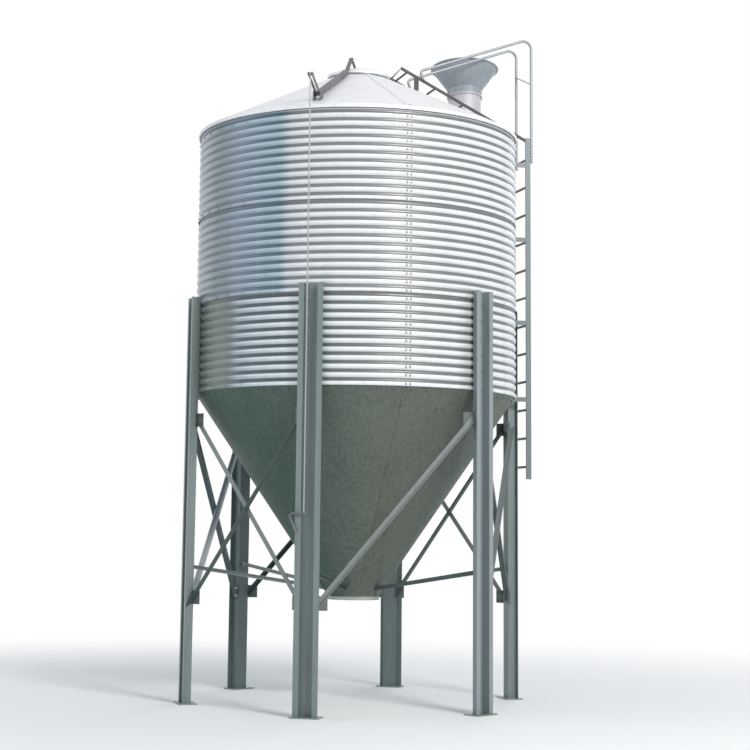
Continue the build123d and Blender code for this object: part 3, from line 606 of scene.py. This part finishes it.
def bolt_pattern_piece(radius, thick):
    """A hexagon head with a softened edge on a washer; its seat is the XY plane and it points along +Z."""
    clear_selection()
    bpy.ops.mesh.primitive_cylinder_add(vertices=14, radius=radius * 1.45, depth=thick * 0.3,
                                        location=(0, 0, thick * 0.15))
    washer = bpy.context.object
    clear_selection()
    bpy.ops.mesh.primitive_cylinder_add(vertices=6, radius=radius, depth=thick, location=(0, 0, thick * 0.8))
    head = bpy.context.object
    bpy.ops.object.mode_set(mode="EDIT")
    bpy.ops.mesh.select_all(action="DESELECT")
    bpy.ops.object.mode_set(mode="OBJECT")
    for face in head.data.polygons:
        face.select = face.normal.z > 0.9
    bpy.ops.object.mode_set(mode="EDIT")
    bpy.ops.mesh.bevel(offset=radius * 0.16, segments=1)
    bpy.ops.object.mode_set(mode="OBJECT")
    washer.select_set(True)
    bpy.context.view_layer.objects.active = head
    bpy.ops.object.join()
    bpy.ops.object.transform_apply(location=True, rotation=True, scale=True)
    return bpy.context.object


def bolt_row(name, spots, body, slot, radius=0.008, thick=0.006, finish=None):
    """Copies one bolt to each spot, a pair of a point and the way the head faces, and joins the copies."""
    first = bolt_pattern_piece(radius, thick)
    copies = []
    for point, facing in spots:
        copy = first.copy()
        copy.data = first.data.copy()
        bpy.context.scene.collection.objects.link(copy)
        turn = Vector(facing).to_track_quat("Z", "Y").to_matrix().to_4x4()
        copy.matrix_world = Matrix.Translation(point) @ turn
        copies.append(copy)
    bpy.data.objects.remove(first)
    clear_selection()
    for copy in copies:
        copy.select_set(True)
    bpy.context.view_layer.objects.active = copies[0]
    bpy.ops.object.join()
    dress(take(name), slot, body, extra_finishes[finish] if finish else None)
    print(name, "holds", len(spots), "bolts")


# %% [markdown]
# Wall bolts run along each ring's joint, and up the three upright joints at every crest.
# A crest is a quarter of a pitch above a ring's bottom.

# %% Wall bolts
ring_spots = []
for ring in range(RINGS + 1):
    level = WALL_BOTTOM + ring * RING + (0.25 * PITCH if ring < RINGS else -0.75 * PITCH)
    for number in range(48):
        azimuth = 3.1 + number * 7.5
        if min(abs((azimuth - leg + 180) % 360 - 180) for leg in LEGS) < 5 and level < 3.35:
            continue
        ring_spots.append((place(azimuth, CREST - 0.0004, 0, level), outward(azimuth)))
bolt_row("wall_ring_bolts", ring_spots, "silo", "wall_sheet")
STRAP = 0.0016
seam_spots = []
for seam in SEAMS:
    for crest in range(RINGS * CRESTS):
        level = WALL_BOTTOM + (crest + 0.25) * PITCH
        for side in (-0.017, 0.017):
            seam_spots.append((place(seam, CREST + STRAP, side, level), outward(seam)))
bolt_row("wall_seam_bolts", seam_spots, "silo", "wall_sheet", radius=0.0075, thick=0.007, finish="bolt")

# %% [markdown]
# A cover strap follows the wave over each upright joint. It starts as a flat grid whose rows are laid on the
# wall's own line, then gets its thickness. One is modelled at azimuth 0 and copied to the three joints.

# %% Wall seam straps
def copy_round(first, azimuths, name):
    """Copies a piece modelled at azimuth 0 to each azimuth, with its own mesh, and joins the copies."""
    copies = []
    for azimuth in azimuths:
        copy = first.copy()
        copy.data = first.data.copy()
        bpy.context.scene.collection.objects.link(copy)
        copy.matrix_world = Matrix.Rotation(math.radians(azimuth), 4, "Z") @ first.matrix_world
        copies.append(copy)
    bpy.data.objects.remove(first)
    clear_selection()
    for copy in copies:
        copy.select_set(True)
    bpy.context.view_layer.objects.active = copies[0]
    if len(copies) > 1:
        bpy.ops.object.join()
    return take(name)


def add_thickness(piece, thickness, offset=1):
    """Thicken a sheet to one side, and shade it smooth."""
    clear_selection()
    piece.select_set(True)
    bpy.context.view_layer.objects.active = piece
    solid = piece.modifiers.new("thickness", "SOLIDIFY")
    solid.thickness = thickness
    solid.offset = offset
    bpy.ops.object.modifier_apply(modifier=solid.name)
    bpy.ops.object.shade_smooth_by_angle(angle=math.radians(35))


ROWS_PER_PITCH = 12
rows = RINGS * CRESTS * ROWS_PER_PITCH
clear_selection()
bpy.ops.mesh.primitive_grid_add(x_subdivisions=3, y_subdivisions=rows, size=1)
strap = bpy.context.object
for vertex in strap.data.vertices:
    height = WALL_BOTTOM + 0.0005 + (vertex.co.y + 0.5) * (RINGS * RING - 0.001)
    angle = vertex.co.x * 0.056 / WALL_RADIUS
    radius = wall_face(height) + 0.0006
    vertex.co = (radius * math.sin(angle), -radius * math.cos(angle), height)
add_thickness(strap, 0.0010)
dress(copy_round(strap, SEAMS, "wall_seam_straps"), "wall_sheet", "silo")

# %% [markdown]
# Each ring stands on the one below, and a thin bead of sealant shows as a dark line at the joint.
# The bead is a slim torus, pressed flat against the slope of the wave.

# %% Ring joint sealant
def bead(major, minor, height, squash=1.0, segments=144):
    """A level ring about the silo's axis, squashed in height."""
    clear_selection()
    bpy.ops.mesh.primitive_torus_add(major_segments=segments, minor_segments=8, major_radius=major,
                                     minor_radius=minor, location=(0, 0, height))
    bpy.ops.object.mode_set(mode="EDIT")
    bpy.ops.mesh.select_all(action="SELECT")
    bpy.ops.transform.resize(value=(1, 1, squash))
    bpy.ops.object.mode_set(mode="OBJECT")
    bpy.ops.object.shade_smooth()
    return bpy.context.object


def join(parts, name):
    """Join parts into one named piece."""
    clear_selection()
    for part in parts:
        part.select_set(True)
    bpy.context.view_layer.objects.active = parts[0]
    bpy.ops.object.join()
    return take(name)


joints = []
for ring in range(1, RINGS):
    joints.append(bead(WALL_RADIUS + SHEET + 0.0018, 0.0030, WALL_BOTTOM + ring * RING - 0.0025, 1.5))
dress(join(joints, "wall_joint_sealant"), "wall_sheet", "silo", extra_finishes["seal"])
# A dark bead also runs round just under the eave, where the roof's edge overhangs the wall.
bead(CREST - 0.0006, 0.0026, EAVE - 0.0030, 1.2)
dress(take("eave_dark_bead"), "roof_sheet", "silo", extra_finishes["seal"])
print("sealant at", [round(WALL_BOTTOM + ring * RING, 3) for ring in range(1, RINGS)], "m")

# %% [markdown]
# The roof's three panels overlap under a half-round rib, and a row of bolts goes round the eave band.
# The rib is a plane strip raised along its middle.

# %% Roof ribs and eave bolts
RIB_INNER, RIB_OUTER = 0.262, 1.380
clear_selection()
bpy.ops.mesh.primitive_grid_add(x_subdivisions=8, y_subdivisions=20, size=1)
rib = bpy.context.object
for vertex in rib.data.vertices:
    across_rib, along = vertex.co.x, vertex.co.y + 0.5
    radius = RIB_INNER + along * (RIB_OUTER - RIB_INNER)
    rise = 0.0015 + 0.007 * max(0, math.cos(across_rib * 2 * math.pi)) if abs(across_rib) < 0.25 else 0.0015
    vertex.co = (across_rib * 0.052, -radius, roof_height(math.hypot(radius, across_rib * 0.052)) + rise)
add_thickness(rib, 0.0012, offset=-1)
dress(copy_round(rib, SEAMS, "roof_seam_ribs"), "roof_sheet", "silo")
rib_spots = []
for seam in SEAMS:
    facing = outward(seam) * math.sin(ROOF_SLOPE) + Vector((0, 0, math.cos(ROOF_SLOPE)))
    for number in range(13):
        radius = 0.32 + number * 0.085
        for side in (-0.019, 0.019):
            rib_spots.append((place(seam, radius, side, roof_height(radius) + 0.0018), facing))
bolt_row("roof_seam_bolts", rib_spots, "silo", "roof_sheet", radius=0.006, thick=0.005)
eave_spots = [(place(azimuth, ROOF_EDGE - 0.0002, 0, EAVE + 0.014), outward(azimuth))
              for azimuth in [number * 7.5 for number in range(48)]]
bolt_row("eave_bolts", eave_spots, "silo", "roof_sheet", radius=0.006, thick=0.005)

# %% [markdown]
# The hopper's three panels lap under flat strips, with bolts at even steps, and a second bolt row
# goes round just under the wall.

# %% Hopper straps and bolts
LAP_FOOT = 0.990


def hopper_facing(azimuth):
    """The way the hopper's outer face looks at an azimuth."""
    rise = (WALL_BOTTOM - HOPPER_FOOT)
    run = hopper_face(WALL_BOTTOM) - hopper_face(HOPPER_FOOT)
    return (outward(azimuth) * rise - Vector((0, 0, run))).normalized()


clear_selection()
bpy.ops.mesh.primitive_grid_add(x_subdivisions=3, y_subdivisions=24, size=1)
lap = bpy.context.object
for vertex in lap.data.vertices:
    height = LAP_FOOT + (vertex.co.y + 0.5) * (WALL_BOTTOM - 0.012 - LAP_FOOT)
    radius = hopper_face(height) + 0.0012
    angle = vertex.co.x * 0.050 / radius
    vertex.co = (radius * math.sin(angle), -radius * math.cos(angle), height)
add_thickness(lap, 0.0016)
dress(copy_round(lap, SEAMS, "hopper_seam_straps"), "hopper_sheet", "silo")
lap_spots = []
for seam in SEAMS:
    for number in range(19):
        height = 1.02 + number * 0.082
        for side in (-0.014, 0.014):
            point = place(seam, hopper_face(height) + 0.0026, side, height)
            lap_spots.append((point, hopper_facing(seam)))
bolt_row("hopper_seam_bolts", lap_spots, "silo", "hopper_sheet", radius=0.006, thick=0.005,
         finish="dull_bolt")
rim_spots, rim_level = [], WALL_BOTTOM - 0.03
for number in range(60):
    azimuth = 1.1 + number * 6
    point = place(azimuth, hopper_face(rim_level) - 0.0003, 0, rim_level)
    rim_spots.append((point, hopper_facing(azimuth)))
bolt_row("hopper_rim_bolts", rim_spots, "silo", "hopper_sheet", radius=0.007, thick=0.006)

# %% [markdown]
# The outlet collar ends in a rolled edge, and bolts hold the hopper's foot to it.

# %% Outlet collar edge and bolts
bead(COLLAR + 0.0026, 0.0034, 0.8440, 1.0, 96)
dress(take("outlet_rolled_edge"), "hopper_sheet", "silo", extra_finishes["collar"])
collar_spots = [(place(azimuth, COLLAR + 0.0026, 0, 0.8765), outward(azimuth))
                for azimuth in range(8, 368, 30)]
bolt_row("outlet_collar_bolts", collar_spots, "silo", "hopper_sheet", radius=0.006, thick=0.005)

# %% [markdown]
# Each leg is bolted to the wall through its web, two bolts to every second crest.
# Bolts hold the braces to the gusset plates, and the struts to the legs and the collar.

# %% Leg, brace and strut bolts
leg_spots = []
for leg in LEGS:
    for crest in range(0, 12, 2):
        level = WALL_BOTTOM + (crest + 0.25) * PITCH
        for side in (-0.036, 0.036):
            leg_spots.append((place(leg, LEG_INNER + STEEL - 0.0002, side, level), outward(leg)))
bolt_row("leg_wall_bolts", leg_spots, "silo", "leg_steel", radius=0.0095, thick=0.009, finish="leg_bolt")
brace_spots = []
for bay in range(6):
    middle = LEGS[bay] + BAY / 2
    for direction in ((1,) if bay == 0 else (1, -1)):
        face = BRACE_PLANE + direction * 0.0005
        plate_back = face - direction * 0.005
        reach = face * math.tan(math.radians(BAY / 2)) - LEG_HALF_BOX / math.cos(math.radians(BAY / 2))
        for end in (-1, 1):
            at_top = direction * end > 0
            centre = BRACE_TOP - 0.022 if at_top else BRACE_FOOT + 0.022
            for inset, lift in ((0.030, -0.034), (0.030, 0.034), (0.072, -0.034), (0.072, 0.034)):
                point = place(middle, plate_back + direction * 0.0002, end * (reach - inset), centre + lift)
                brace_spots.append((point, outward(middle) * -direction))
bolt_row("brace_bolts", brace_spots, "silo", "brace_steel", radius=0.0075, thick=0.006)
strut_spots = []
STRUT_FOOT, STRUT_TOP = 0.917, 1.088
strut_tilt = math.atan2(STRUT_TOP - STRUT_FOOT, LEG_INNER - COLLAR)
for leg in LEGS:
    for radius in (COLLAR + 0.03, COLLAR + 0.06, LEG_INNER - 0.06, LEG_INNER - 0.03):
        height = STRUT_FOOT + (radius - COLLAR) * math.tan(strut_tilt) + 0.013
        strut_spots.append((place(leg, radius, -0.0002, height), across(leg) * -1))
bolt_row("strut_bolts", strut_spots, "silo", "brace_steel", radius=0.007, thick=0.006)

# %% [markdown]
# The wall ladder's brackets have foot plates on the crests, with a bolt above and below the bracket.
# The plate starts as a cube, is cut down to a thin plate, and its upright edges and rim are bevelled.

# %% Ladder bracket feet and bolts
BRACKET_CRESTS = (0, 10, 21, 31)
clear_selection()
bpy.ops.mesh.primitive_cube_add(size=1)
plate = bpy.context.object
bpy.ops.object.mode_set(mode="EDIT")
bpy.ops.mesh.select_all(action="SELECT")
bpy.ops.transform.resize(value=(0.064, 0.004, 0.022))
bpy.ops.mesh.bevel(offset=0.0008, segments=2)
bpy.ops.transform.translate(value=(0, -CREST - 0.0032, 0))
bpy.ops.object.mode_set(mode="OBJECT")
plates, plate_spots = [], []
for crest in BRACKET_CRESTS:
    level = WALL_BOTTOM + (crest + 0.25) * PITCH
    for stile in STILES:
        turn = LADDER + math.degrees(math.asin(stile / (CREST + 0.003)))
        copy = plate.copy()
        copy.data = plate.data.copy()
        bpy.context.scene.collection.objects.link(copy)
        copy.matrix_world = Matrix.Translation((0, 0, level)) @ Matrix.Rotation(math.radians(turn), 4, "Z")
        plates.append(copy)
        for side in (-0.022, 0.022):
            plate_spots.append((place(turn, CREST + 0.0048, side, level), outward(turn)))
bpy.data.objects.remove(plate)
dress(join(plates, "ladder_bracket_feet"), "ladder_steel", "silo")
bolt_row("ladder_bracket_bolts", plate_spots, "silo", "ladder_steel", radius=0.006, thick=0.006)

# %% [markdown]
# A weld bead runs round each rung where it enters a stile. The bead is a torus, roughened by a fine cloud.

# %% Weld beads
def round_about(point, axis, major, minor, segments=20):
    """A torus about a line through a point."""
    clear_selection()
    bpy.ops.mesh.primitive_torus_add(major_segments=segments, minor_segments=6, major_radius=major,
                                     minor_radius=minor)
    piece = bpy.context.object
    piece.matrix_world = Matrix.Translation(point) @ Vector(axis).to_track_quat("Z", "Y").to_matrix().to_4x4()
    bpy.ops.object.shade_smooth()
    return piece


ripple = bpy.data.textures.new("weld_ripple", "CLOUDS")
ripple.noise_scale = 0.004


def ripple_surface(piece, strength=0.0012):
    """Push a weld's surface in and out by a fine cloud."""
    clear_selection()
    piece.select_set(True)
    bpy.context.view_layer.objects.active = piece
    push = piece.modifiers.new("ripple", "DISPLACE")
    push.texture = ripple
    push.strength = strength
    bpy.ops.object.modifier_apply(modifier=push.name)
    return piece


FIRST_RUNG, RUNG_STEP = 1.980, 0.248
rung_beads = []
for number in range(12):
    level = FIRST_RUNG + number * RUNG_STEP
    for stile, inner in ((STILES[0], 0.0062), (STILES[1], -0.0062)):
        point = place(LADDER, STILE_MIDDLE, stile + inner, level)
        rung_beads.append(round_about(point, across(LADDER), 0.0112, 0.0026))
dress(ripple_surface(join(rung_beads, "rung_welds")), "ladder_steel", "silo")

# %% [markdown]
# Two bolts through each stile hold its handrail, and a domed plug closes the foot of each rail.

# %% Handrail bolts and plugs
def domed_plug(point, axis, radius, depth):
    """A short plug with a rounded face that looks along the axis."""
    clear_selection()
    bpy.ops.mesh.primitive_cylinder_add(vertices=24, radius=radius, depth=depth, location=(0, 0, depth / 2))
    plug = bpy.context.object
    bpy.ops.object.transform_apply(location=True, rotation=True, scale=True)
    bpy.ops.object.mode_set(mode="EDIT")
    bpy.ops.mesh.select_all(action="DESELECT")
    bpy.ops.object.mode_set(mode="OBJECT")
    for face in plug.data.polygons:
        face.select = face.normal.z > 0.9
    bpy.ops.object.mode_set(mode="EDIT")
    bpy.ops.mesh.bevel(offset=depth * 0.6, segments=4)
    bpy.ops.object.mode_set(mode="OBJECT")
    bpy.ops.object.shade_smooth_by_angle(angle=math.radians(40))
    plug.matrix_world = Matrix.Translation(point) @ Vector(axis).to_track_quat("Z", "Y").to_matrix().to_4x4()
    return plug


ladder_top = roof_height(STILE_INNER) + 0.152
rail_foot = ladder_top - 0.220
rail_spots, plugs = [], []
for stile in STILES:
    for level in (rail_foot + 0.035, rail_foot + 0.110, ladder_top - 0.035):
        for side in (-1, 1):
            point = place(LADDER, STILE_MIDDLE + 0.010, stile + side * 0.0058, level)
            rail_spots.append((point, across(LADDER) * side))
    plugs.append(domed_plug(place(LADDER, RAIL_RADIUS, stile, rail_foot + 0.001), (0, 0, -1), 0.0114, 0.005))
bolt_row("rail_bolts", rail_spots, "silo", "ladder_steel", radius=0.006, thick=0.006, finish="bolt")
dress(join(plugs, "rail_end_plugs"), "ladder_steel", "silo", extra_finishes["seal"])

# %% [markdown]
# The filler leans a little away from the front. Its funnel has a rolled rim, a bead at the top of its
# collar, and bolts under the neck's ring.

# %% Filler rim, beads and bolts
filler_foot = Vector((0.9842, 0.7124, 4.8848))
lean = math.radians(6.8)
filler_axis = Vector((0, math.sin(lean), math.cos(lean)))


def on_filler(distance):
    """A point on the filler's axis, a distance above the roof."""
    return filler_foot + filler_axis * distance


FUNNEL_FOOT, RING_FOOT = 0.516, 0.504
rim = round_about(on_filler(FUNNEL_FOOT + 0.275 - 0.004), filler_axis, 0.3085, 0.0052, 96)
fold = round_about(on_filler(FUNNEL_FOOT + 0.068), filler_axis, 0.1590, 0.0028, 72)
dress(join([rim, fold], "funnel_rim_bead"), "funnel_sheet", "silo")
side_x = Vector((1, 0, 0))
side_y = filler_axis.cross(side_x)
neck_spots, collar_rivets = [], []
for number in range(16):
    angle = math.radians(number * 22.5 + 9)
    sideways = side_x * math.cos(angle) + side_y * math.sin(angle)
    neck_spots.append((on_filler(RING_FOOT) + sideways * 0.1567, filler_axis * -1))
    collar_rivets.append((on_filler(FUNNEL_FOOT + 0.034) + sideways * 0.1578, sideways))
bolt_row("neck_ring_bolts", neck_spots, "silo", "neck_steel", radius=0.0036, thick=0.005)
bolt_row("funnel_collar_bolts", collar_rivets, "silo", "funnel_sheet", radius=0.005, thick=0.004)
round_about(on_filler(RING_FOOT - 0.001), filler_axis, 0.1510, 0.0026, 72)
dress(take("neck_ring_weld"), "neck_steel", "silo")

# %% [markdown]
# The lid has a beaded rim, and its hanger's foot is held by two bolts. These ride on the lid's body.

# %% Lid rim and hanger bolts
LID_RIM_FOOT = roof_height(LID_RADIUS) + 0.006
LID_RIM_TOP = LID_RIM_FOOT + 0.032
LID_RISE = 0.065
dome = (LID_RADIUS ** 2 + LID_RISE ** 2) / (2 * LID_RISE)
boss_height = LID_RIM_TOP + math.sqrt(dome ** 2 - 0.055 ** 2) - (dome - LID_RISE)
bead(LID_RADIUS + 0.0012, 0.0034, LID_RIM_FOOT + 0.0045, 1.0, 96)
dress(take("lid_rim_bead"), "roof_sheet", "lid_with_lever", extra_finishes["dull_bolt"])
hanger_spots = [(place(MECHANISM, radius, MECHANISM_SIDE, boss_height + 0.005), (0, 0, 1))
                for radius in (-0.019, 0.024)]
bolt_row("hanger_bolts", hanger_spots, "lid_with_lever", "lever_steel", radius=0.005, thick=0.004)

# %% [markdown]
# The lever turns on a pin in the roof bracket, and the rod's eye on the crank's pin. Each pin has a
# washer outside its plate and a split ring through its end.

# %% Pin washers and split rings
pivot = Vector((1.240, roof_height(1.240) + 0.050))
crank_pin = pivot + Vector((math.cos(math.radians(25)), math.sin(math.radians(25)))) * 0.255


def on_mechanism(spot, side):
    """A place on the lever's plane, moved sideways."""
    return place(MECHANISM, spot.x, MECHANISM_SIDE + side, spot.y)


def pin_set(name, spot, plate, pin, radius, slot, body):
    """Washers against the outer faces of two plates and split rings beyond them."""
    parts = []
    for sign in (-1, 1):
        facing = across(MECHANISM) * sign
        parts.append(domed_plug(on_mechanism(spot, sign * plate), facing, radius * 1.8, 0.002))
        parts.append(round_about(on_mechanism(spot, sign * (pin - 0.003)), facing, radius * 1.02, 0.0013, 20))
    dress(join(parts, name), slot, body, extra_finishes["bolt"])


pin_set("bracket_pin_washers", pivot, 0.0320, 0.0400, 0.006, "lever_steel", "silo")
pin_set("crank_pin_washers", crank_pin, 0.0180, 0.0280, 0.005, "lever_steel", "lid_with_lever")

# %% [markdown]
# The handle's bar ends in domed plugs, and a weld joins it to the rod. These ride on the rod's body.

# %% Handle plugs and rod weld
HANDLE = 1.543
rod_radius = crank_pin.x
root = place(MECHANISM, rod_radius, MECHANISM_SIDE + 0.0145, HANDLE)
ends = [domed_plug(root, across(MECHANISM), 0.0078, 0.004)]
handle_way = Vector((0.065, -0.145)).normalized()
tip_side, tip_height = -0.125 + 0.065, HANDLE - 0.145
tip_axis = across(MECHANISM) * handle_way.x + Vector((0, 0, handle_way.y))
tip = place(MECHANISM, rod_radius, MECHANISM_SIDE + tip_side, tip_height) - tip_axis * 0.0005
ends.append(domed_plug(tip, tip_axis, 0.0078, 0.004))
dress(join(ends, "handle_plugs"), "lever_steel", "pull_rod_with_handle", extra_finishes["bolt"])
round_about(place(MECHANISM, rod_radius, MECHANISM_SIDE, HANDLE + 0.0080), (0, 0, 1), 0.0066, 0.0024, 24)
dress(ripple_surface(take("rod_weld"), 0.0008), "lever_steel", "pull_rod_with_handle")
print("handle hangs", round(HANDLE, 3), "m above the ground")
